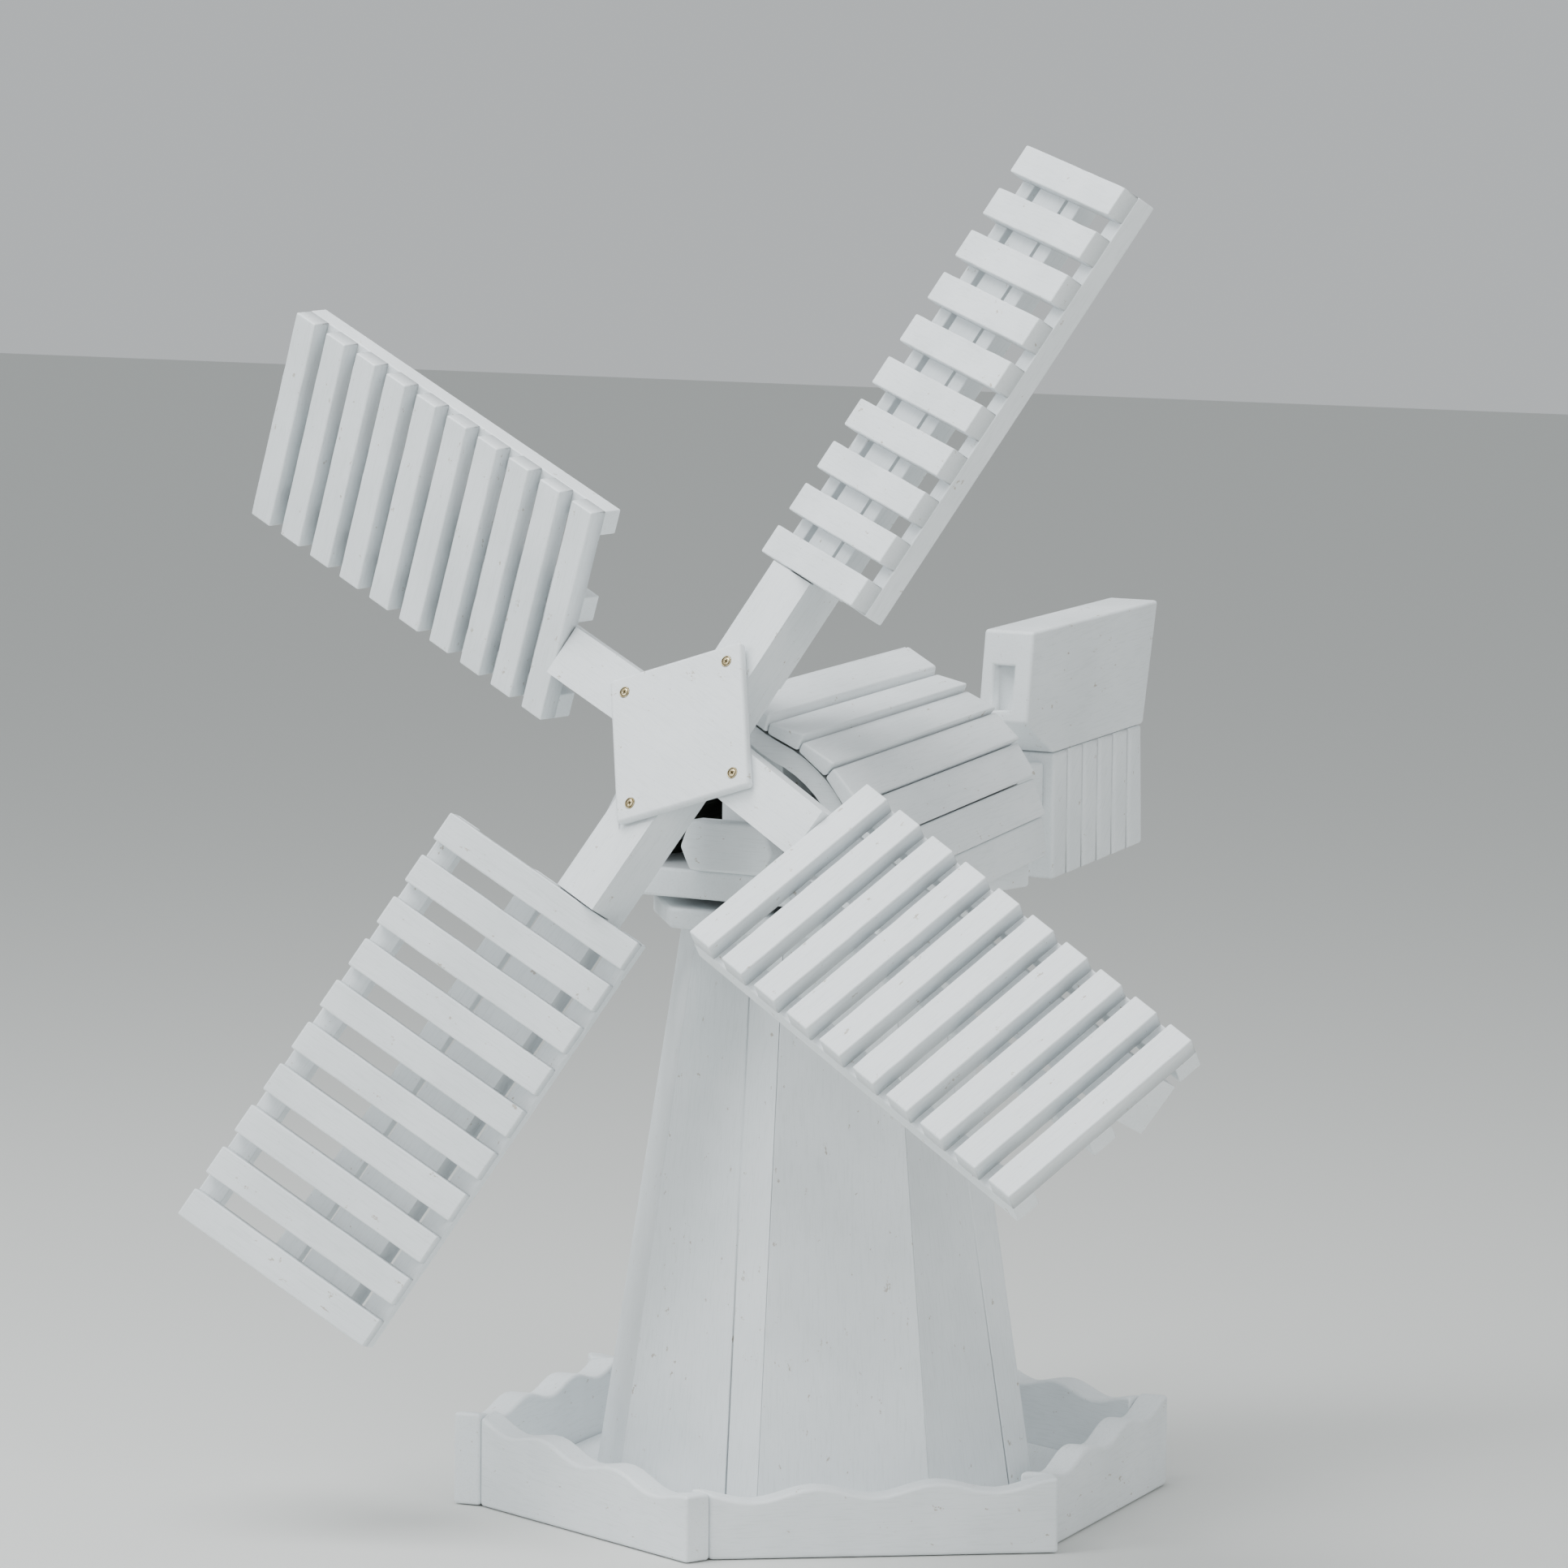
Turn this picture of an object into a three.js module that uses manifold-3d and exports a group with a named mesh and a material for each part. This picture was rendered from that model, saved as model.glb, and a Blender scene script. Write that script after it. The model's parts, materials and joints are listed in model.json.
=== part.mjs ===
// A wooden garden windmill: a planter base, an eight-sided tower, a cap that turns with the wind
// and a rotor with four slatted sails. Millimetres, +Z up. The origin is on the ground on the
// tower's axis, and the rotor faces -Y.
import * as THREE from "three";
import { ConvexGeometry } from "three/addons/geometries/ConvexGeometry.js";
import { mergeVertices } from "three/addons/utils/BufferGeometryUtils.js";
import Module from "manifold-3d";

const wasm = await Module();
wasm.setup();

const rad = THREE.MathUtils.degToRad;
const GAP = 0.3; // between pieces that touch
const UNDER_ROOF = 2.6; // between the flat slats and the round ribs below them

// ---------- driving dimensions ----------

const PLANTER = {
  sides: 6,
  turn: rad(43),
  inside: 192, // from the axis to a board's inner face
  board: 20,
  // The rim's mean height at the far end of each board; it dips at the front board's two ends.
  cornerHeights: [47, 60, 60, 60, 60, 41],
  wave: 3.8,
  waves: 3,
  floor: 15,
};

const TOWER = {
  sides: 8,
  turn: rad(43),
  footRadius: 157.7, // the corner circle at the ground
  taper: 64.2 / 420, // how fast the corner circle shrinks with height
  top: 400,
  wall: 16,
  stripWidth: 27,
  groove: 1.4,
};

const COLLAR = { radius: 118, thick: 14 };

const PIVOT = { radius: 8, flangeRadius: 30, headRadius: 14, headHeight: 6, reach: 24 };

const CAP = {
  halfWidth: 104,
  front: -105,
  back: 104,
  bottom: 421,
  top: 441,
};

const ROOF = {
  slatsPerSide: 7,
  front: -100,
  back: 105,
  radius: 118,
  ridge: 130, // the peak above the arch's centre
  shoulder: rad(75), // where the flat ridge slats meet the round arch
  frontCentre: 433,
  backCentre: 452,
  frontStilt: 27,
  backStilt: 9,
  slat: 12.5,
  // Each slat's upper edge is thinner, so the slat above stands out over it like a clapboard.
  upperLap: 5,
  lowerLap: 3,
  upperSlats: 3,
  joint: 0.003, // half the gap between two slats, as a share of the ridge-to-eave path
};

const ROTOR = {
  centre: new THREE.Vector3(0, -143, 530.6),
  tilt: rad(22.3), // the axis rises towards the front
  angle: rad(64), // of the first arm, from +X, seen from the front
  armWidth: 36.6,
  armDepth: 35.7,
  shaftRadius: 6,
  plateSide: 104,
  plateThick: 7.7,
  screwCircle: 57,
  notchPlay: 1.2, // each side, where the stocks are halved
  screwHole: 2.4,
  holeDepth: 60,
};

// A countersunk screw: its head, the flat rim above the cone, and how far it stands proud.
const SCREW = { head: 3.8, shank: 2, start: 2, cone: 2.6, rim: 0.6, proud: 0.4, crown: 0.1 };

const NUT = { radius: 11, low: 8, high: 13.5, pocket: 14 };

// The rotor's shaft: its back end with the collar there, and the shoulder behind the arms.
const SHAFT = {
  back: -118,
  collarRadius: 11,
  collarFront: -112,
  shoulderRadius: 10,
  shoulderBack: -58,
  front: 15,
};

const BEYOND = 100; // cutting tools reach this far past what they cut

const SAIL = {
  inner: 131,
  slats: 10,
  slatWidth: 21.3,
  pitch: 33.8,
  low: -110.3, // the slats' ends, across the arm
  high: 46.4,
  slatBack: 5.4,
  slatFront: 18.4,
  rail: 14,
  edgeRail: 18,
  midRail: [-45.3, -26.5],
  feather: rad(-25.7), // turns the sail about its arm, so the wind drives it
};
SAIL.outer = SAIL.inner + (SAIL.slats - 1) * SAIL.pitch + SAIL.slatWidth;

// The arms are fitted by hand, so each stands a degree or two off square: how far it leads its
// true place, leans forward out of the rotor's plane, and feathers beyond the others.
const ARMS = [
  { name: "a_upper", lead: rad(2.3), lean: rad(-1.3), feather: rad(0.5) },
  { name: "b_upper", lead: rad(1.3), lean: rad(0), feather: rad(-2.4) },
  { name: "a_lower", lead: rad(1.1), lean: rad(1.5), feather: rad(0) },
  { name: "b_lower", lead: rad(-1.6), lean: rad(0), feather: rad(1.8) },
];

const TAIL = {
  halfWidth: 21,
  // Side outline of the box: (y, z) points, anticlockwise seen from +X.
  outline: [
    [233, 585],
    [225, 520],
    [262, 497],
    [381, 510],
    [399, 599],
  ],
  windowLow: 528,
  windowHigh: 560,
  windowHalf: 8.3,
  windowFront: 200,
  windowBack: 238,
  windowOffset: -2,
  skirtFront: 263,
  skirtBack: 383,
  skirtRibs: 6,
  skirtHalf: 20,
  skirtBottom: [406, 423],
  skirtGap: 0.7,
  grooveHalf: 2.2,
  grooveDepth: 2.5,
};

const BOOM = { halfWidth: 12, low: 458, high: 490 };

// The beam with pointed ends across the cap's open front, and the two end ribs under the slats.
const BEAM = { front: -112, back: -96.3, half: 38, tip: 8, tipHeight: 457, top: 476 };
const RIB = { front: [-96, -82], back: [90, 104], width: 14 };
const BEARING = { half: 25, front: -81.7, back: -45, top: 530 };

// ---------- materials ----------

const paint = new THREE.MeshStandardMaterial({ color: 0xd2d8d8, roughness: 0.55, metalness: 0 });
const brass = new THREE.MeshStandardMaterial({ color: 0xa8823c, roughness: 0.35, metalness: 1 });
const steel = new THREE.MeshStandardMaterial({ color: 0x9ba0a3, roughness: 0.4, metalness: 1 });

// ---------- solids ----------

function solid(geometry) {
  const loose = geometry.index ? geometry.toNonIndexed() : geometry;
  const bare = new THREE.BufferGeometry().setAttribute("position", loose.getAttribute("position"));
  const merged = mergeVertices(bare, 1e-4);
  return new wasm.Manifold(
    new wasm.Mesh({
      numProp: 3,
      vertProperties: new Float32Array(merged.attributes.position.array),
      triVerts: new Uint32Array(merged.index.array),
    }),
  );
}

function geometryOf(made) {
  const mesh = made.getMesh();
  const indexed = new THREE.BufferGeometry();
  indexed.setAttribute("position", new THREE.BufferAttribute(mesh.vertProperties, 3));
  indexed.setIndex(new THREE.BufferAttribute(mesh.triVerts, 1));
  const flat = indexed.toNonIndexed();
  flat.computeVertexNormals();
  return flat;
}

function join(first, ...rest) {
  return geometryOf(rest.reduce((whole, piece) => whole.add(solid(piece)), solid(first)));
}

function cut(first, ...rest) {
  return geometryOf(rest.reduce((whole, piece) => whole.subtract(solid(piece)), solid(first)));
}

function block(x0, x1, y0, y1, z0, z1) {
  const box = new THREE.BoxGeometry(x1 - x0, y1 - y0, z1 - z0);
  return box.translate((x0 + x1) / 2, (y0 + y1) / 2, (z0 + z1) / 2);
}

function hull(points) {
  return new ConvexGeometry(points.map((p) => new THREE.Vector3(...p)));
}

// An outline in XY, raised along +Z.
function prism(outline, low, high) {
  const shape = new THREE.Shape(outline.map((p) => new THREE.Vector2(...p)));
  const made = new THREE.ExtrudeGeometry(shape, { depth: high - low, bevelEnabled: false });
  return made.translate(0, 0, low);
}

// An outline in YZ, raised along +X.
function sidePrism(outline, low, high) {
  return prism(outline, low, high).rotateX(Math.PI / 2).rotateZ(Math.PI / 2);
}

// An outline in XZ, raised along +Y.
function frontPrism(outline, low, high) {
  return prism(outline, 0, high - low)
    .rotateX(Math.PI / 2)
    .translate(0, high, 0);
}

// A round solid about Z from (radius, height) pairs, bottom first; it starts and ends on the axis.
function turned(profile, sides) {
  const made = new THREE.LatheGeometry(profile.map((p) => new THREE.Vector2(...p)), sides);
  return made.rotateX(Math.PI / 2);
}

function rod(radius, low, high, sides = 24) {
  return turned([[0, low], [radius, low], [radius, high], [0, high]], sides);
}

function regular(sides, cornerRadius, turn) {
  const step = (2 * Math.PI) / sides;
  return Array.from({ length: sides }, (_, i) => {
    const angle = turn + (i + 0.5) * step;
    return [cornerRadius * Math.sin(angle), -cornerRadius * Math.cos(angle)];
  });
}

function add(group, name, geometry, material = paint) {
  const mesh = new THREE.Mesh(geometry, material);
  mesh.name = name;
  group.add(mesh);
  return mesh;
}

// ---------- planter ----------

// One side board, facing -Y. Its far end (+X) runs past the next board's outer face, and its
// near end butts on the inner face of the board before it. The top edge is a row of waves.
function planterBoard(nearHeight, farHeight) {
  const step = (2 * Math.PI) / PLANTER.sides;
  const { inside, board, wave, waves } = PLANTER;
  const far = (inside + board - inside * Math.cos(step)) / Math.sin(step);
  const near = -inside * Math.tan(step / 2);
  const outline = [[far, 0]];
  const points = waves * 10;
  for (let i = 0; i <= points; i++) {
    const mean = farHeight + ((nearHeight - farHeight) * i) / points;
    const swell = wave * Math.cos((2 * Math.PI * waves * i) / points);
    outline.push([far + ((near - far) * i) / points, mean + swell]);
  }
  outline.push([near, 0]);
  const raw = frontPrism(outline, -inside - board, -inside);
  const beyond = block(-2 * inside, 2 * inside, -2 * inside, -inside + GAP, -1, inside);
  return cut(raw, beyond.rotateZ(-step));
}

function addPlanter(base) {
  const heights = PLANTER.cornerHeights;
  heights.forEach((farHeight, i) => {
    const board = planterBoard(heights.at(i - 1), farHeight);
    const turn = PLANTER.turn + (2 * Math.PI * i) / PLANTER.sides;
    add(base, `planter_board_${i + 1}`, board).rotation.z = turn;
  });
  const corner = (PLANTER.inside - GAP) / Math.cos(Math.PI / PLANTER.sides);
  const plate = prism(regular(PLANTER.sides, corner, PLANTER.turn), 0, PLANTER.floor);
  add(base, "planter_floor", plate);
}

// ---------- tower ----------

// One tapered wall board, facing -Y, with mitred edges. Alternate boards carry a line near one edge.
function towerStave(lined) {
  const half = Math.PI / TOWER.sides;
  const low = PLANTER.floor + GAP;
  const corners = [low, TOWER.top].flatMap((z) => {
    const outer = (TOWER.footRadius - TOWER.taper * z) * Math.cos(half);
    return [outer, outer - TOWER.wall].flatMap((y) => {
      const x = y * Math.tan(half) - GAP;
      return [[-x, -y, z], [x, -y, z]];
    });
  });
  const stave = hull(corners);
  if (!lined) return stave;
  const groove = [low - 1, TOWER.top + 1].flatMap((z) => {
    const y = (TOWER.footRadius - TOWER.taper * z) * Math.cos(half);
    const x = y * Math.tan(half) - TOWER.stripWidth;
    const { groove: g } = TOWER;
    return [[x - g, -y - g / 2, z], [x + g, -y - g / 2, z], [x, -y + g, z]];
  });
  return cut(stave, hull(groove));
}

function addTower(base) {
  for (let i = 0; i < TOWER.sides; i++) {
    const turn = TOWER.turn + (2 * Math.PI * i) / TOWER.sides;
    add(base, `tower_stave_${i + 1}`, towerStave(i % 2 === 1)).rotation.z = turn;
  }
  const low = TOWER.top + GAP;
  const disc = prism(regular(TOWER.sides, COLLAR.radius, TOWER.turn), low, TOWER.top + COLLAR.thick);
  add(base, "tower_collar", cut(disc, rod(PIVOT.radius + GAP, low - 1, low + COLLAR.thick + 1)));
}

// The cap turns on this pin: its flange carries the cap's base and its head holds the cap down.
function addPivot(base) {
  const { radius, flangeRadius, headRadius, headHeight, reach } = PIVOT;
  const flangeLow = TOWER.top + COLLAR.thick + GAP;
  const flangeHigh = CAP.bottom - GAP;
  const head = CAP.top + GAP;
  const profile = [
    [0, TOWER.top - reach],
    [radius, TOWER.top - reach],
    [radius, flangeLow],
    [flangeRadius, flangeLow],
    [flangeRadius, flangeHigh],
    [radius, flangeHigh],
    [radius, head],
    [headRadius, head],
    [headRadius, head + headHeight],
    [0, head + headHeight],
  ];
  add(base, "yaw_pivot", turned(profile, 24), steel);
}

// ---------- cap ----------

// A point of the roof's section, from its centre: given how far along the slats it is from ridge
// to eave (0 to 1), how far inside the outer face, and how long the stilt under the arch is.
function roofPoint(share, inset, stilt) {
  const { radius, ridge, shoulder } = ROOF;
  const flat = Math.hypot(radius * Math.cos(shoulder), ridge - radius * Math.sin(shoulder));
  const arc = radius * shoulder;
  const along = share * (flat + arc + stilt);
  const r = radius - inset;
  if (along < flat) {
    const t = along / flat;
    return [t * r * Math.cos(shoulder), ridge - inset + t * (r * Math.sin(shoulder) - ridge + inset)];
  }
  if (along < flat + arc) {
    const angle = shoulder - (along - flat) / radius;
    return [r * Math.cos(angle), r * Math.sin(angle)];
  }
  return [r, flat + arc - along];
}

// One roof slat, counted from the ridge, of the +X side (1) or the -X side (-1): a flat board
// along Y. The roof rises towards the back, and its stilts get shorter.
function roofSlat(index, side) {
  const ends = [
    { y: ROOF.front, z: ROOF.frontCentre, stilt: ROOF.frontStilt },
    { y: ROOF.back, z: ROOF.backCentre, stilt: ROOF.backStilt },
  ];
  const edge = ROOF.joint;
  const lap = index < ROOF.upperSlats ? ROOF.upperLap : ROOF.lowerLap;
  return hull(
    ends.flatMap(({ y, z, stilt }) => {
      const from = index / ROOF.slatsPerSide + edge;
      const to = (index + 1) / ROOF.slatsPerSide - edge;
      const section = [
        roofPoint(from, index ? lap : 0, stilt),
        roofPoint(to, 0, stilt),
        roofPoint(from, ROOF.slat, stilt),
        roofPoint(to, ROOF.slat, stilt),
      ];
      return section.map(([x, up]) => [side * x, y, z + up]);
    }),
  );
}

// The line just inside the slats, from the right foot over the ridge to the left foot.
function underRoof(inset, centre, foot) {
  const steps = 14;
  const right = [[ROOF.radius - inset, foot]];
  for (let i = steps; i >= 0; i--) {
    const [x, up] = roofPoint(i / steps, inset, 0);
    if (centre + up > foot + 1) right.push([x, centre + up]);
  }
  const left = right.slice(0, -1).reverse();
  return [...right, ...left.map(([x, z]) => [-x, z])];
}

function addRoof(cap) {
  for (let i = 0; i < ROOF.slatsPerSide; i++) {
    add(cap, `roof_slat_right_${i + 1}`, roofSlat(i, 1));
    add(cap, `roof_slat_left_${i + 1}`, roofSlat(i, -1));
  }
}

function addCap(cap) {
  const { halfWidth, front, back, bottom, top } = CAP;
  const board = block(-halfWidth, halfWidth, front, back, bottom, top);
  add(cap, "cap_base", cut(board, rod(PIVOT.radius + 1, bottom - 1, top + 1)));

  const foot = top + GAP;
  const { half, tip, tipHeight } = BEAM;
  const inner = half - tip;
  const beam = [
    [-half, tipHeight],
    [-inner, foot],
    [inner, foot],
    [half, tipHeight],
    [inner, BEAM.top],
    [-inner, BEAM.top],
  ];
  add(cap, "front_beam", frontPrism(beam, BEAM.front, BEAM.back));

  const inset = ROOF.slat + UNDER_ROOF;
  const [ribFront, ribBack] = RIB.front;
  const rib = frontPrism(underRoof(inset, ROOF.frontCentre, foot), ribFront, ribBack);
  const inside = underRoof(inset + RIB.width, ROOF.frontCentre, foot - 1);
  add(cap, "front_arch", cut(rib, frontPrism(inside, ribFront - 1, ribBack + 1)));
  const gable = underRoof(inset, ROOF.backCentre - 2, foot);
  add(cap, "rear_gable", frontPrism(gable, ...RIB.back));
}

// The block on the cap's base that the rotor's shaft turns in.
function addBearing(cap) {
  const { half, front, back: rear } = BEARING;
  const bearing = block(-half, half, front, rear, CAP.top + GAP, BEARING.top);
  const bore = rod(ROTOR.shaftRadius + 0.5, -200, 20);
  bore.rotateX(Math.PI / 2 - ROTOR.tilt).translate(...ROTOR.centre);
  add(cap, "bearing_block", cut(bearing, bore));
}

function addTail(cap) {
  const { outline, halfWidth } = TAIL;
  const box = sidePrism(outline, -halfWidth, halfWidth);
  const window = block(
    TAIL.windowOffset - TAIL.windowHalf,
    TAIL.windowOffset + TAIL.windowHalf,
    TAIL.windowFront,
    TAIL.windowBack,
    TAIL.windowLow,
    TAIL.windowHigh,
  );
  add(cap, "tail_box", cut(box, window));

  const [, , [lowFront, zFront], [lowBack, zBack]] = outline;
  const { skirtFront, skirtBack, skirtRibs, skirtHalf, skirtBottom } = TAIL;
  const slope = (zBack - zFront) / (lowBack - lowFront);
  const topAt = (y) => zFront + slope * (y - lowFront) - TAIL.skirtGap;
  const fall = (skirtBottom[1] - skirtBottom[0]) / (skirtBack - skirtFront);
  const bottomAt = (y) => skirtBottom[0] + fall * (y - skirtFront);
  const width = (skirtBack - skirtFront) / skirtRibs;
  const skirtBackTop = lowBack - 1;
  const plate = sidePrism(
    [
      [skirtFront, bottomAt(skirtFront)],
      [skirtBack, bottomAt(skirtBack)],
      [skirtBackTop, topAt(skirtBackTop)],
      [skirtFront, topAt(skirtFront)],
    ],
    -skirtHalf,
    skirtHalf,
  );
  const grooves = [];
  for (let i = 1; i < skirtRibs; i++) {
    const y = skirtFront + i * width;
    for (const side of [-1, 1]) {
      const x = side * skirtHalf;
      const section = [
        [x + side, y - TAIL.grooveHalf],
        [x + side, y + TAIL.grooveHalf],
        [x - side * TAIL.grooveDepth, y],
      ];
      const ends = [skirtBottom[0] - BEYOND, zBack];
      grooves.push(hull(ends.flatMap((z) => section.map(([sx, sy]) => [sx, sy, z]))));
    }
  }
  add(cap, "tail_skirt", cut(plate, ...grooves));

  add(
    cap,
    "tail_boom",
    block(
      -BOOM.halfWidth,
      BOOM.halfWidth,
      RIB.back[1] + GAP,
      skirtFront - GAP,
      BOOM.low,
      BOOM.high,
    ),
  );
}

// ---------- rotor ----------
// In the rotor's own frame +Z is its axis, out of the front, and +X is the object's +X.

// The turn that takes an arm's frame (X outwards, Y the way it turns, Z forward) to the rotor's.
function armTurn(index, feather = 0) {
  const arm = ARMS[index];
  const angle = ROTOR.angle + (index * Math.PI) / 2 + arm.lead;
  return new THREE.Euler(feather, -arm.lean, angle, "ZYX");
}

function sailTurn(index) {
  return armTurn(index, SAIL.feather + ARMS[index].feather);
}

function turnedBy(geometry, euler) {
  return geometry.applyMatrix4(new THREE.Matrix4().makeRotationFromEuler(euler));
}

// One arm: a square bar from the hub's centre outwards, planed to a slanting seat under the sail.
function armBar(index) {
  const y = ROTOR.armWidth / 2;
  const z = ROTOR.armDepth / 2;
  const bar = turnedBy(block(-y / 2, SAIL.outer, -y, y, -z, z), armTurn(index));
  const above = block(
    SAIL.inner - 1,
    SAIL.outer + BEYOND,
    -BEYOND,
    BEYOND,
    SAIL.slatBack - GAP,
    BEYOND,
  );
  return cut(bar, turnedBy(above, sailTurn(index)));
}

function screwPlace(index) {
  const angle = ROTOR.angle + (index * Math.PI) / 2;
  return [ROTOR.screwCircle * Math.cos(angle), ROTOR.screwCircle * Math.sin(angle), 0];
}

// Two arms in one line make a stock. The two stocks are halved into each other at the hub, and
// faced flat there, front and back.
function stock(index, halving, extra = []) {
  const y = ROTOR.armWidth / 2 + ROTOR.notchPlay;
  const notch = block(-y, y, -y, y, ...halving).rotateZ(ROTOR.angle);
  const screwHoles = [index, index + 2].map((i) =>
    rod(ROTOR.screwHole, 0, ROTOR.holeDepth, 12).translate(...screwPlace(i)),
  );
  const bore = rod(ROTOR.shaftRadius + GAP, -BEYOND, BEYOND);
  const face = ROTOR.armDepth / 2;
  const half = ROTOR.plateSide / 2 + 2;
  const faced = [[face, face + BEYOND], [-face - BEYOND, -face]].map(([low, high]) =>
    block(-half, half, -half, half, low, high).rotateZ(ROTOR.angle + Math.PI / 4),
  );
  const bars = join(armBar(index), armBar(index + 2));
  return cut(bars, notch, bore, ...faced, ...screwHoles, ...extra);
}

function addHub(rotor) {
  const face = ROTOR.armDepth / 2;
  const pocket = rod(NUT.pocket, NUT.low - GAP, face + BEYOND);
  add(rotor, "stock_a", stock(0, [-GAP / 2, BEYOND]));
  add(rotor, "stock_b", stock(1, [-BEYOND, GAP / 2], [pocket]));

  const plateLow = face + GAP;
  const plateHigh = plateLow + ROTOR.plateThick;
  const half = ROTOR.plateSide / 2;
  const plate = block(-half, half, -half, half, plateLow, plateHigh);
  plate.rotateZ(ROTOR.angle + Math.PI / 4);
  const sinks = [0, 1, 2, 3].map((i) => screwShape(plateHigh, GAP).translate(...screwPlace(i)));
  add(rotor, "hub_plate", cut(plate, ...sinks));
  for (let i = 0; i < 4; i++) {
    add(rotor, `hub_screw_${i + 1}`, screwShape(plateHigh, 0), brass).position.set(...screwPlace(i));
  }

  const shaft = ROTOR.shaftRadius;
  const profile = [
    [0, SHAFT.back],
    [SHAFT.collarRadius, SHAFT.back],
    [SHAFT.collarRadius, SHAFT.collarFront],
    [shaft, SHAFT.collarFront],
    [shaft, SHAFT.shoulderBack],
    [SHAFT.shoulderRadius, SHAFT.shoulderBack],
    [SHAFT.shoulderRadius, -face - GAP],
    [shaft, -face - GAP],
    [shaft, SHAFT.front],
    [0, SHAFT.front],
  ];
  add(rotor, "rotor_shaft", turned(profile, 24), steel);
  const bore = rod(shaft + GAP, NUT.low - 1, NUT.high + 1);
  const nut = cut(rod(NUT.radius, NUT.low, NUT.high, 6), bore);
  add(rotor, "shaft_nut", nut, steel);
}

// A countersunk screw whose head ends just above the given height, grown by a clearance.
function screwShape(top, clear) {
  const head = SCREW.head + clear;
  const shank = SCREW.shank + clear;
  const end = top + SCREW.proud + 3 * clear;
  return turned(
    [
      [0, SCREW.start - clear],
      [shank, SCREW.start - clear],
      [shank, top - SCREW.cone - clear],
      [head, top - SCREW.rim - clear],
      [head, end],
      [0, end + SCREW.crown],
    ],
    16,
  );
}

// ---------- sails ----------
// In a sail's frame +X runs out along the arm, +Y across the slats and +Z out of their front.

// The ten cross slats with the rail that joins them beside the arm.
function sailGrid() {
  const { inner, outer, slats, slatWidth, pitch, low, high, slatBack, slatFront } = SAIL;
  const back = slatBack - GAP;
  const rail = block(inner, outer, ...SAIL.midRail, back - SAIL.rail, slatBack + 1);
  const bars = Array.from({ length: slats }, (_, i) => {
    const x = inner + i * pitch;
    return block(x, x + slatWidth, low, high, slatBack, slatFront);
  });
  const notches = Array.from({ length: slats - 1 }, (_, i) => {
    const x = inner + i * pitch + slatWidth;
    return block(x, x + pitch - slatWidth, low, high, slatBack, slatFront);
  });
  return cut(join(rail, ...bars), ...notches);
}

function addSails(rotor) {
  const { inner, outer, low, high, slatBack, rail, edgeRail } = SAIL;
  const front = slatBack - GAP;
  ARMS.forEach((arm, i) => {
    const sail = new THREE.Group();
    sail.rotation.copy(sailTurn(i));
    rotor.add(sail);
    add(sail, `sail_${arm.name}_grid`, sailGrid());
    const wide = block(inner, outer, low, low + edgeRail, front - rail, front);
    add(sail, `sail_${arm.name}_wide_rail`, wide);
    const narrow = block(inner, outer, high - edgeRail, high, front - rail, front);
    add(sail, `sail_${arm.name}_narrow_rail`, narrow);
  });
}

// ---------- assembly ----------

const windmill = new THREE.Group();

const base = new THREE.Group();
windmill.add(base);
addPlanter(base);
addTower(base);
addPivot(base);

const cap = new THREE.Group();
windmill.add(cap);
addCap(cap);
addRoof(cap);
addBearing(cap);
addTail(cap);

const rotor = new THREE.Group();
rotor.position.copy(ROTOR.centre);
rotor.rotation.x = Math.PI / 2 - ROTOR.tilt;
cap.add(rotor);
addHub(rotor);
addSails(rotor);

export default windmill;
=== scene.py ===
"""The looks of a painted wooden garden windmill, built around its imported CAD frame.

Every CAD node gets a piece of its own with softened edges and a procedural material.
The sails' cross slats are made one by one, a little uneven, as hand-sawn slats are.
Lengths are in metres, in the frame's own axes: +Z up, the rotor faces -Y.
"""

import json
import math
import random

import bmesh
import bpy
import numpy as np
from mathutils import Matrix, Vector, noise


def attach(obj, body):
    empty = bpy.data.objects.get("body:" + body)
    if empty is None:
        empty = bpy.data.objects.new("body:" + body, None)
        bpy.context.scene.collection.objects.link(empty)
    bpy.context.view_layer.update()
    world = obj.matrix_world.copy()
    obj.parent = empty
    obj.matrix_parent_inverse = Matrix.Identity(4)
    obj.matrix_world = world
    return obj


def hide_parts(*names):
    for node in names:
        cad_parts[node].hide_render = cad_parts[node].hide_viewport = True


MM = 0.001

# The camera: where it stands, what it looks at and how it is framed.
AZIMUTH = math.radians(34.71)
ELEVATION = math.radians(6.15)
ROLL = math.radians(0.58)
TARGET = Vector((0, 0, 0.45))
DISTANCE = 4.826
SENSOR = 36.0
LENS = 161.85
SHIFT = (-0.0229, 0.0401)
CLIP_END = 50

# Soft studio light, all of it aimed at TARGET: name, place, size, power and colour.
LIGHTS = [
    ("overcast", (-0.4, -0.9, 3.0), 2.2, 96, (0.98, 0.99, 1)),
    ("front", (3.0, -1.6, 1.6), 1.6, 30, (1, 0.99, 0.97)),
    ("left", (-1.6, -3.0, 1.6), 1.8, 44, (0.95, 0.98, 1)),
]
SKY_COLOUR = (0.9, 0.94, 0.96, 1)
SKY_STRENGTH = 0.62
FLOOR_SIZE = 30
FLOOR_HEIGHT = -0.5 * MM
FLOOR_COLOUR = (0.66, 0.67, 0.65, 1)
FLOOR_ROUGHNESS = 0.9

# The noise textures: stretch across the grain, scale, detail and roughness.
TEXTURES = {
    "clouds": (1, 14, 4, 0.5),
    "fibres": (14, 60, 5, 0.6),
    "strokes": (6, 45, 3, 0.5),
    "swells": (2, 18, 2, 0.5),
    "specks": (1.6, 95, 4, 0.7),
    "stains": (1, 420, 4, 0.5),
    "scratches": (8, 900, 2, 0.5),
}

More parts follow.
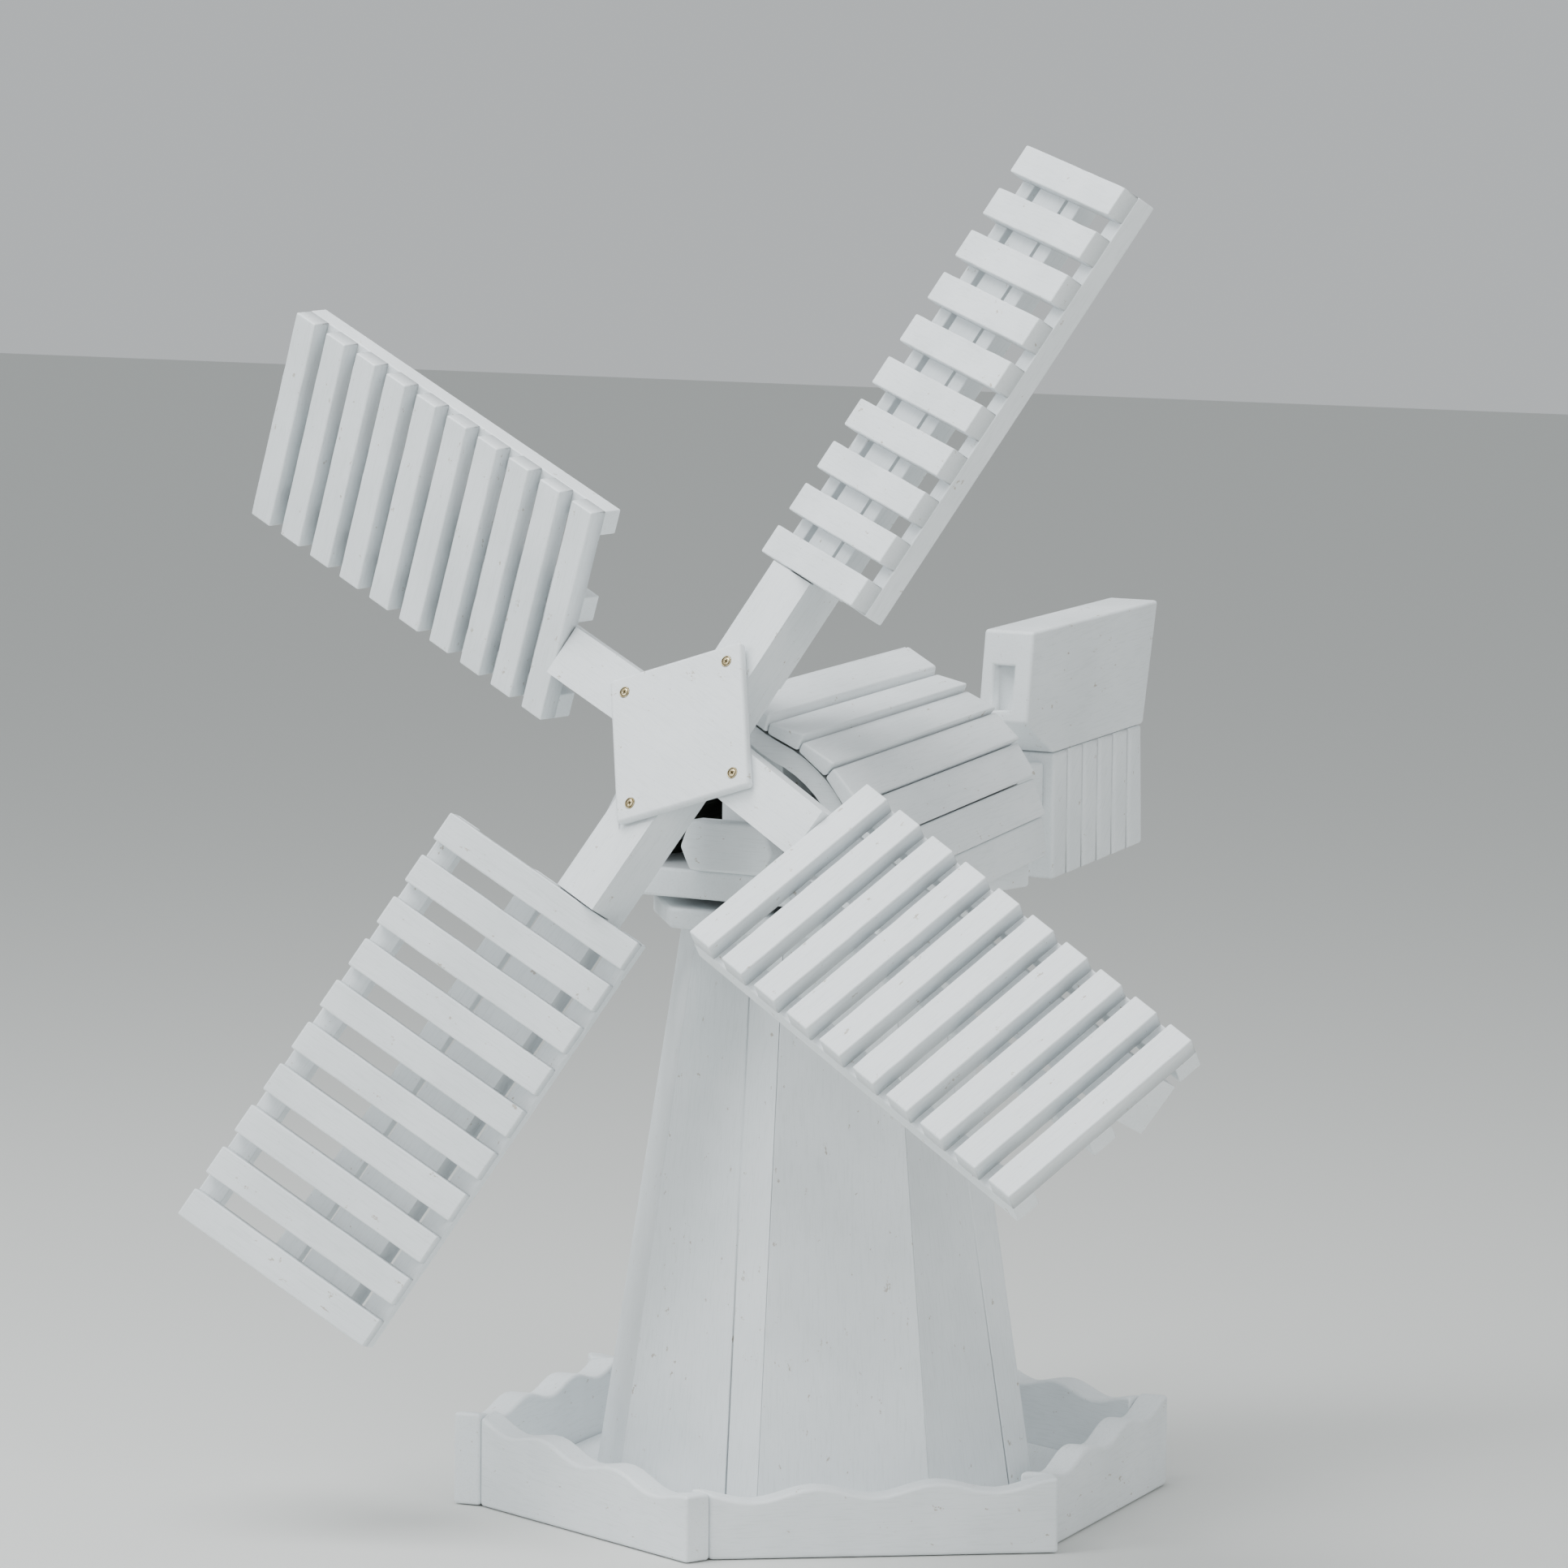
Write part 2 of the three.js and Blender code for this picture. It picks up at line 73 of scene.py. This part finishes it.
# Paint: colour ramps, and the strength and depth of each layer of bumps.
COAT = [(0.32, (0.765, 0.806, 0.822)), (0.62, (0.835, 0.872, 0.89))]
WORN_GRAIN = [(0.36, (0.62, 0.66, 0.64)), (0.5, (1, 1, 1))]
WORN_SHARE = 0.16
MARKS = [(0.66, (0, 0, 0)), (0.7, (0.7, 0.7, 0.7))]
MARK_COLOUR = (0.36, 0.3, 0.22, 1)
SATIN = [(0.3, (0.4, 0.4, 0.4)), (0.7, (0.56, 0.56, 0.56))]
PAINT_BUMPS = [("swells", 0.35, 1.2 * MM), ("strokes", 0.3, 0.35 * MM), ("fibres", 0.3, 0.2 * MM)]

# Nearly black wood for the roof slats' inner faces: painted shade for the cap's inside.
PAINTED_SHADE_GRAIN = [(0.3, (0.03, 0.035, 0.025)), (0.7, (0.075, 0.085, 0.06))]
PAINTED_SHADE_ROUGHNESS = 0.85
PAINTED_SHADE_BUMP = (0.4, 0.3 * MM)

# Metals: where the stains turn from dull to bright and from rough to smooth, and the scratches.
STAIN_TONE = (0.35, 0.65)
STAIN_WEAR = (0.3, 0.7)
SCRATCH_BUMP = (0.2, 0.05 * MM)

GRAIN_SPREAD = 9  # how far apart two pieces may lie in the textures

# Rounded edges: how wide, and how many steps.
MERGE = 0.02 * MM
EDGE_STEPS = 3
SHARP = math.radians(25)
FLAT = math.radians(1)
SHORT_EDGE = 4 * MM
STAVE_STRETCH = 0.004  # of a tower stave's width, so that paint seems to fill the joints

# A screw's head: (radius, height) rings from the rim inwards, and the cross recess.
SCREW_STEPS = 40
SCREW_SHANK = [(0, -18), (2, -18), (2, -3), (3.75, -1)]
SCREW_RIM = [(3.75, -0.25), (3.55, 0), (3.25, 0)]
SCREW_GROOVE = [(3.1, -0.55), (2.8, -0.55)]
SCREW_FACE = [(2.65, 0), (1.6, 0)]
RECESS_ARM = 1.5
RECESS_CORE = 0.6
RECESS_HALF_ANGLE = math.radians(19)
RECESS_DEPTH = 1.1

# The sails' slats and the rail beside the arm. The slats sink a little into the rails.
SLATS = 10
SLAT_WIDTH = 21.3 * MM
SLAT_THICK = 13 * MM
SLAT_EDGE = 1.1 * MM
SLAT_SLICES = 12
SLAT_TRIM = 0.7 * MM
SLAT_SINK = 0.15 * MM
WOBBLE = 0.45 * MM
WOBBLES_PER_METRE = 45
WOBBLE_SEED = 120
WOBBLE_STEP = 3.7  # between two slats, in the noise
TOP_OFFSET = Vector((0, 0, 9))  # from the sides' noise to the front face's
MID_RAIL = (65.0 * MM, 83.8 * MM)  # from the wide rail's outer edge
RAIL_EDGE = 1.0 * MM

# How wide each kind of wooden piece is rounded.
ROUNDING = {
    "planter_board": 2.6 * MM,
    "planter_floor": 1.0 * MM,
    "tower_stave": 0.7 * MM,
    "tower_collar": 2.5 * MM,
    "cap_base": 2.5 * MM,
    "front_beam": 2.5 * MM,
    "front_arch": 1.5 * MM,
    "rear_gable": 2.0 * MM,
    "roof_slat": 1.8 * MM,
    "bearing_block": 2.0 * MM,
    "tail_boom": 2.5 * MM,
    "tail_box": 2.6 * MM,
    "tail_skirt": 2.6 * MM,
    "stock": 2.0 * MM,
    "hub_plate": 2.6 * MM,
}

# A roof slat's face gets the painted shade if it looks at the cap's middle, more or less.
CAP_MIDDLE = Vector((0, 0, 0.47))
LENGTHWISE_SHARE = 0.2
FACING = 0.8

STEEL_NODES = ("yaw_pivot", "rotor_shaft", "shaft_nut")
STEEL_EDGE = 0.6 * MM
STEEL_SHORT_EDGE = 1 * MM

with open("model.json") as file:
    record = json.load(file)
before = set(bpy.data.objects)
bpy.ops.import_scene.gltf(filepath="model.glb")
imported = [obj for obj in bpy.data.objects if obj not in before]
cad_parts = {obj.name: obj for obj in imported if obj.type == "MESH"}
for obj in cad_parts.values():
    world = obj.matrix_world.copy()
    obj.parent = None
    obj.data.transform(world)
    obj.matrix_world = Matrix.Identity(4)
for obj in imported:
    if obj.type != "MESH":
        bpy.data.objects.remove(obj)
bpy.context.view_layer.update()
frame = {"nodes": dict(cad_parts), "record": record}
node_body = {
    node: body
    for body, nodes in frame["record"]["behaviour"]["bodies"].items()
    for node in nodes
}
chance = random.Random(7)


# ---------- materials ----------


def new_material(name):
    material = bpy.data.materials.new(name)
    material.use_nodes = True
    nodes = material.node_tree.nodes
    return material, nodes, material.node_tree.links, nodes["Principled BSDF"]


def texture(nodes, links, name):
    """A noise texture in the piece's own grain coordinates, X along the grain."""
    stretch, scale, detail, roughness = TEXTURES[name]
    source = nodes.new("ShaderNodeAttribute")
    source.attribute_name = "grain"
    mapping = nodes.new("ShaderNodeMapping")
    mapping.inputs["Scale"].default_value = (1, stretch, stretch)
    links.new(source.outputs["Vector"], mapping.inputs["Vector"])
    made = nodes.new("ShaderNodeTexNoise")
    made.inputs["Scale"].default_value = scale
    made.inputs["Detail"].default_value = detail
    made.inputs["Roughness"].default_value = roughness
    links.new(mapping.outputs["Vector"], made.inputs["Vector"])
    return made.outputs["Fac"]


def ramp(nodes, links, value, stops):
    """A colour ramp through (position, colour) stops."""
    made = nodes.new("ShaderNodeValToRGB")
    for element, (position, colour) in zip(made.color_ramp.elements, stops):
        element.position = position
        element.color = (*colour, 1)
    links.new(value, made.inputs["Fac"])
    return made.outputs["Color"]


def bump(nodes, links, height, strength, distance, normal=None):
    """Bumps of the given height, laid over those of an earlier normal."""
    made = nodes.new("ShaderNodeBump")
    made.inputs["Strength"].default_value = strength
    made.inputs["Distance"].default_value = distance
    links.new(height, made.inputs["Height"])
    if normal is not None:
        links.new(normal, made.inputs["Normal"])
    return made.outputs["Normal"]


def painted_wood(name):
    """White satin paint over wood: brush strokes, raised grain, faint clouding, a few scuffs."""
    material, nodes, links, shader = new_material(name)
    clouds = texture(nodes, links, "clouds")

    streaked = nodes.new("ShaderNodeMix")
    streaked.data_type = "RGBA"
    streaked.blend_type = "MULTIPLY"
    streaked.inputs["Factor"].default_value = WORN_SHARE
    links.new(ramp(nodes, links, clouds, COAT), streaked.inputs["A"])
    fibres = texture(nodes, links, "fibres")
    links.new(ramp(nodes, links, fibres, WORN_GRAIN), streaked.inputs["B"])

    marked = nodes.new("ShaderNodeMix")
    marked.data_type = "RGBA"
    specks = texture(nodes, links, "specks")
    links.new(ramp(nodes, links, specks, MARKS), marked.inputs["Factor"])
    links.new(streaked.outputs["Result"], marked.inputs["A"])
    marked.inputs["B"].default_value = MARK_COLOUR
    links.new(marked.outputs["Result"], shader.inputs["Base Color"])

    links.new(ramp(nodes, links, clouds, SATIN), shader.inputs["Roughness"])
    normal = None
    for layer, strength, distance in PAINT_BUMPS:
        height = texture(nodes, links, layer)
        normal = bump(nodes, links, height, strength, distance, normal)
    links.new(normal, shader.inputs["Normal"])
    return material


def metal(name, bright, dull, smooth, rough):
    """A bare metal, a little tarnished and finely scratched."""
    material, nodes, links, shader = new_material(name)
    stains = texture(nodes, links, "stains")
    tone = ramp(nodes, links, stains, zip(STAIN_TONE, (dull, bright)))
    links.new(tone, shader.inputs["Base Color"])
    wear = ramp(nodes, links, stains, zip(STAIN_WEAR, ((rough,) * 3, (smooth,) * 3)))
    links.new(wear, shader.inputs["Roughness"])
    shader.inputs["Metallic"].default_value = 1
    scratches = texture(nodes, links, "scratches")
    links.new(bump(nodes, links, scratches, *SCRATCH_BUMP), shader.inputs["Normal"])
    return material


def painted_shade_wood(name):
    """Nearly black wood with grain and bumps: painted shade for the inside of the cap."""
    material, nodes, links, shader = new_material(name)
    fibres = texture(nodes, links, "fibres")
    links.new(ramp(nodes, links, fibres, PAINTED_SHADE_GRAIN), shader.inputs["Base Color"])
    shader.inputs["Roughness"].default_value = PAINTED_SHADE_ROUGHNESS
    links.new(bump(nodes, links, fibres, *PAINTED_SHADE_BUMP), shader.inputs["Normal"])
    return material


MATERIALS = {
    # Nearly black wood: painted shade for the cap's inside.
    "painted_shade_wood": painted_shade_wood("painted_shade_wood"),
    # Dull dark brass for the screws' groove and cross recess: painted shade in these hollows.
    "painted_shade_metal": metal("painted_shade_metal", (0.2, 0.16, 0.08), (0.08, 0.06, 0.03), 0.5, 0.7),
    "white_paint": painted_wood("white_paint"),
    "brass": metal("brass", (0.72, 0.62, 0.4), (0.36, 0.28, 0.14), 0.3, 0.5),
    "steel": metal("steel", (0.5, 0.52, 0.54), (0.28, 0.29, 0.3), 0.32, 0.5),
}


# ---------- making pieces ----------


def somewhere():
    """A random place in the textures."""
    return [chance.uniform(-GRAIN_SPREAD, GRAIN_SPREAD) for _ in range(3)]


def store_grain(mesh, places):
    grain = mesh.attributes.new("grain", "FLOAT_VECTOR", "POINT")
    grain.data.foreach_set("vector", np.ravel(places))


def set_grain(mesh):
    """Stores each point's place in the piece's own axes, longest first, for the materials."""
    points = np.empty(len(mesh.vertices) * 3)
    mesh.vertices.foreach_get("co", points)
    points = points.reshape(-1, 3)
    centred = points - points.mean(axis=0)
    axes = np.linalg.svd(centred, full_matrices=False)[2]
    store_grain(mesh, centred @ axes.T + somewhere())


def finish_piece(name, mesh, node, slot):
    """Makes the object: smooth shading, material and body, and hides the CAD node it stands for.
    """
    for polygon in mesh.polygons:
        polygon.use_smooth = True
    piece = bpy.data.objects.new(name, mesh)
    bpy.context.scene.collection.objects.link(piece)
    weighted = piece.modifiers.new("flat faces", "WEIGHTED_NORMAL")
    weighted.weight = 100
    weighted.keep_sharp = True
    mesh.materials.append(MATERIALS[slot])
    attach(piece, node_body[node])
    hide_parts(node)
    return piece


def solid_of(node):
    """The CAD node's solid as a bmesh of flat faces, in the frame's axes."""
    source = frame["nodes"][node]
    bm = bmesh.new()
    bm.from_mesh(source.data)
    bm.transform(source.matrix_world)
    bmesh.ops.remove_doubles(bm, verts=bm.verts, dist=MERGE)
    bmesh.ops.dissolve_limit(bm, angle_limit=FLAT, verts=bm.verts, edges=bm.edges)
    return bm


def round_edges(bm, width, shortest=SHORT_EDGE, lowest=-math.inf):
    """Rounds the outward sharp edges longer than shortest that reach above lowest."""
    sharp = [
        edge
        for edge in bm.edges
        if edge.is_convex
        and edge.calc_face_angle(0) > SHARP
        and edge.calc_length() > shortest
        and max(vertex.co.z for vertex in edge.verts) > lowest
    ]
    bmesh.ops.bevel(
        bm,
        geom=sharp,
        offset=width,
        offset_type="OFFSET",
        segments=EDGE_STEPS,
        profile=0.5,
        affect="EDGES",
        clamp_overlap=True,
    )


def mesh_of(bm, name):
    """Turns the bmesh into a mesh, and frees it."""
    bmesh.ops.recalc_face_normals(bm, faces=bm.faces)
    mesh = bpy.data.meshes.new(name)
    bm.to_mesh(mesh)
    bm.free()
    return mesh


def widen(bm, share):
    """Stretches a board across its grain by a share of its width."""
    points = np.array([list(vertex.co) for vertex in bm.verts])
    centre = points.mean(axis=0)
    across = np.linalg.svd(points - centre, full_matrices=False)[2][1]
    for vertex, point in zip(bm.verts, points):
        vertex.co += Vector(across * float(np.dot(point - centre, across)) * share)


def softened(node, width, slot="white_paint", shortest=SHORT_EDGE):
    """A copy of the CAD node with rounded edges."""
    bm = solid_of(node)
    if node.startswith("tower_stave"):
        widen(bm, STAVE_STRETCH)
    round_edges(bm, width, shortest)
    mesh = mesh_of(bm, node)
    set_grain(mesh)
    return finish_piece(f"{node}_finish", mesh, node, slot)


# ---------- sails ----------


def corners_of(node):
    """The corners of the CAD node's solid."""
    bm = solid_of(node)
    points = [vertex.co.copy() for vertex in bm.verts]
    bm.free()
    return points


def middle(points):
    return sum(points, Vector()) / len(points)


def sail_axes(wide, narrow, hub):
    """The sail's own axes: out along the arm, across to the narrow side, and forward."""
    centre = middle(wide)
    spread = np.array([list(point - centre) for point in wide])
    out = Vector(np.linalg.svd(spread, full_matrices=False)[2][0]).normalized()
    if out.dot(centre - hub) < 0:
        out.negate()
    across = middle(narrow) - centre
    across = (across - out * across.dot(out)).normalized()
    return out, across, out.cross(across)


def bar(size, edge, lowest=-math.inf):
    """A straight bar about its own centre, with rounded edges."""
    bm = bmesh.new()
    bmesh.ops.create_cube(bm, size=1)
    bmesh.ops.scale(bm, vec=size, verts=bm.verts)
    round_edges(bm, edge, lowest=lowest)
    return bm


def uneven_slat(size, seed):
    """A sawn slat with square back edges, and sides and a front that wander a little."""
    bm = bar(size, SLAT_EDGE, lowest=0)
    for i in range(1, SLAT_SLICES):
        y = size.y * (i / SLAT_SLICES - 0.5)
        everything = bm.verts[:] + bm.edges[:] + bm.faces[:]
        bmesh.ops.bisect_plane(bm, geom=everything, plane_co=(0, y, 0), plane_no=(0, 1, 0))
    for vertex in bm.verts:
        place = Vector((seed * WOBBLE_STEP, vertex.co.y * WOBBLES_PER_METRE, 0))
        inward = 1 if vertex.co.x < 0 else -1
        vertex.co.x += inward * WOBBLE * abs(noise.noise(place + Vector((inward, 0, 0))))
        if vertex.co.z > 0:
            vertex.co.z -= WOBBLE * abs(noise.noise(place + TOP_OFFSET))
    return bm


def slats_piece(sail, hub):
    """The ten cross slats and the rail beside the arm, in place of the sail's CAD grid."""
    wide = corners_of(f"{sail}_wide_rail")
    narrow = corners_of(f"{sail}_narrow_rail")
    out, across, forward = sail_axes(wide, narrow, hub)
    turn = Matrix((out, across, forward)).transposed()

    def along(points, axis):
        values = [point.dot(axis) for point in points]
        return min(values), max(values)

    inner, outer = along(wide, out)
    low = along(wide, across)[0]
    high = along(narrow, across)[1]
    rail_back, rail_front = along(wide, forward)
    pitch = (outer - inner - SLAT_WIDTH) / (SLATS - 1)
    whole = bmesh.new()
    places = []

    def place(bm, centre, grain_axes):
        away = Vector(somewhere())
        for vertex in bm.verts:
            places.append(grain_axes @ vertex.co + away)
        bm.transform(Matrix.Translation(turn @ centre) @ turn.to_4x4())
        part = bpy.data.meshes.new("part")
        bm.to_mesh(part)
        bm.free()
        whole.from_mesh(part)
        bpy.data.meshes.remove(part)

    lengthwise = Matrix(((0, 1, 0), (1, 0, 0), (0, 0, 1)))
    for i in range(SLATS):
        trim = chance.uniform(0, SLAT_TRIM)
        size = Vector((SLAT_WIDTH, high - low - trim, SLAT_THICK))
        x = inner + i * pitch + SLAT_WIDTH / 2
        centre = Vector((x, (low + high) / 2, rail_front - SLAT_SINK + SLAT_THICK / 2))
        place(uneven_slat(size, WOBBLE_SEED + i), centre, lengthwise)
    size = Vector((outer - inner, MID_RAIL[1] - MID_RAIL[0], rail_front - rail_back))
    y = low + sum(MID_RAIL) / 2
    centre = Vector(((inner + outer) / 2, y, (rail_back + rail_front) / 2))
    place(bar(size, RAIL_EDGE), centre, Matrix.Identity(3))

    name = f"{sail}_slats"
    mesh = mesh_of(whole, name)
    store_grain(mesh, places)
    finish_piece(name, mesh, f"{sail}_grid", "white_paint")


def make_sails():
    hub = middle(corners_of("hub_plate"))
    for node in sorted(node_body):
        if node.endswith("_grid"):
            slats_piece(node.removesuffix("_grid"), hub)
        elif node.endswith("_rail"):
            softened(node, RAIL_EDGE)


# ---------- the rest of the windmill ----------


def make_woodwork():
    for node in sorted(node_body):
        for start, width in ROUNDING.items():
            if node.startswith(start):
                piece = softened(node, width)
                # The roof slats' inner faces get painted shade.
                if start == "roof_slat":
                    paint_shade_inside(piece)


def screw_piece(node, forward):
    """A countersunk cross-head screw, with painted shade on its groove and cross recess."""
    points = corners_of(node)
    top = max(point.dot(forward) for point in points)
    centre = middle(points)
    centre += forward * (top - centre.dot(forward))
    side = forward.orthogonal().normalized()
    turn = Matrix((side, forward.cross(side), forward)).transposed()
    spin = chance.uniform(0, math.pi)
    bm = bmesh.new()

    def ring(radius, height, cross=False):
        """A ring of points, or one on the axis. A cross dips inwards between its four arms."""
        if radius == 0:
            return [bm.verts.new((0, 0, height * MM))]
        made = []
        for i in range(SCREW_STEPS):
            angle = 2 * math.pi * i / SCREW_STEPS
            off = abs((angle + math.pi / 4) % (math.pi / 2) - math.pi / 4)
            reach = radius if not cross or off < RECESS_HALF_ANGLE else RECESS_CORE
            x, y = (reach * MM * f(angle + spin) for f in (math.cos, math.sin))
            made.append(bm.verts.new((x, y, height * MM)))
        return made

    rings = [ring(*p) for p in SCREW_SHANK + SCREW_RIM + SCREW_GROOVE + SCREW_FACE]
    rings.append(ring(RECESS_ARM, 0, True))
    rings.append(ring(RECESS_CORE, -RECESS_DEPTH))
    rings.append(ring(0, -RECESS_DEPTH))
    groove = len(SCREW_SHANK + SCREW_RIM) - 1
    # The groove round the face and the cross recess get painted shade.
    dark = {groove, groove + 1, groove + 2, len(rings) - 3, len(rings) - 2}
    for n, (low, high) in enumerate(zip(rings, rings[1:])):
        for i in range(SCREW_STEPS):
            j = (i + 1) % SCREW_STEPS
            if len(low) == 1:
                face = bm.faces.new((low[0], high[j], high[i]))
            elif len(high) == 1:
                face = bm.faces.new((low[i], low[j], high[0]))
            else:
                face = bm.faces.new((low[i], low[j], high[j], high[i]))
            face.material_index = 1 if n in dark else 0
    bm.transform(Matrix.Translation(centre) @ turn.to_4x4())
    mesh = mesh_of(bm, node)
    set_grain(mesh)
    finish_piece(f"{node}_finish", mesh, node, "brass")
    mesh.materials.append(MATERIALS["painted_shade_metal"])


def paint_shade_inside(piece):
    """The faces that look towards the cap's middle get the nearly black wood, painted shade for
    the cap's inside.
    """
    mesh = piece.data
    mesh.materials.append(MATERIALS["painted_shade_wood"])
    for polygon in mesh.polygons:
        inwards = CAP_MIDDLE - polygon.center
        inwards.y *= LENGTHWISE_SHARE
        if polygon.normal.dot(inwards.normalized()) > FACING:
            polygon.material_index = 1


def make_metalwork():
    plate = np.array([list(point) for point in corners_of("hub_plate")])
    forward = Vector(np.linalg.svd(plate - plate.mean(axis=0))[2][2])
    if forward.y > 0:
        forward.negate()
    for node in STEEL_NODES:
        softened(node, STEEL_EDGE, "steel", STEEL_SHORT_EDGE)
    for node in sorted(node_body):
        if node.startswith("hub_screw"):
            screw_piece(node, forward)


# ---------- camera, light and floor ----------


def make_camera():
    level = math.cos(ELEVATION)
    back = Vector(
        (math.sin(AZIMUTH) * level, -math.cos(AZIMUTH) * level, math.sin(ELEVATION))
    )
    right = Vector((math.cos(AZIMUTH), math.sin(AZIMUTH), 0))
    up = back.cross(right)
    across = right * math.cos(ROLL) + up * math.sin(ROLL)
    above = up * math.cos(ROLL) - right * math.sin(ROLL)
    data = bpy.data.cameras.new("camera")
    data.sensor_width = SENSOR
    data.lens = LENS
    data.shift_x, data.shift_y = SHIFT
    data.clip_end = CLIP_END
    camera = bpy.data.objects.new("camera", data)
    turn = Matrix((across, above, back)).transposed().to_4x4()
    camera.matrix_world = Matrix.Translation(TARGET + back * DISTANCE) @ turn
    bpy.context.scene.collection.objects.link(camera)
    bpy.context.scene.camera = camera


def area_light(name, place, size, power, colour):
    data = bpy.data.lights.new(name, "AREA")
    data.shape = "DISK"
    data.size = size
    data.energy = power
    data.color = colour
    light = bpy.data.objects.new(name, data)
    turn = (TARGET - Vector(place)).to_track_quat("-Z", "Y").to_matrix().to_4x4()
    light.matrix_world = Matrix.Translation(place) @ turn
    bpy.context.scene.collection.objects.link(light)


def make_light():
    world = bpy.data.worlds.new("soft sky")
    world.use_nodes = True
    sky = world.node_tree.nodes["Background"]
    sky.inputs["Color"].default_value = SKY_COLOUR
    sky.inputs["Strength"].default_value = SKY_STRENGTH
    bpy.context.scene.world = world
    for light in LIGHTS:
        area_light(*light)


def make_floor():
    bpy.ops.mesh.primitive_plane_add(size=FLOOR_SIZE, location=(0, 0, FLOOR_HEIGHT))
    floor = bpy.context.object
    floor.name = "floor"
    material, _, _, shader = new_material("floor")
    shader.inputs["Base Color"].default_value = FLOOR_COLOUR
    shader.inputs["Roughness"].default_value = FLOOR_ROUGHNESS
    floor.data.materials.append(material)


make_camera()
make_light()
make_floor()
make_woodwork()
make_metalwork()
make_sails()
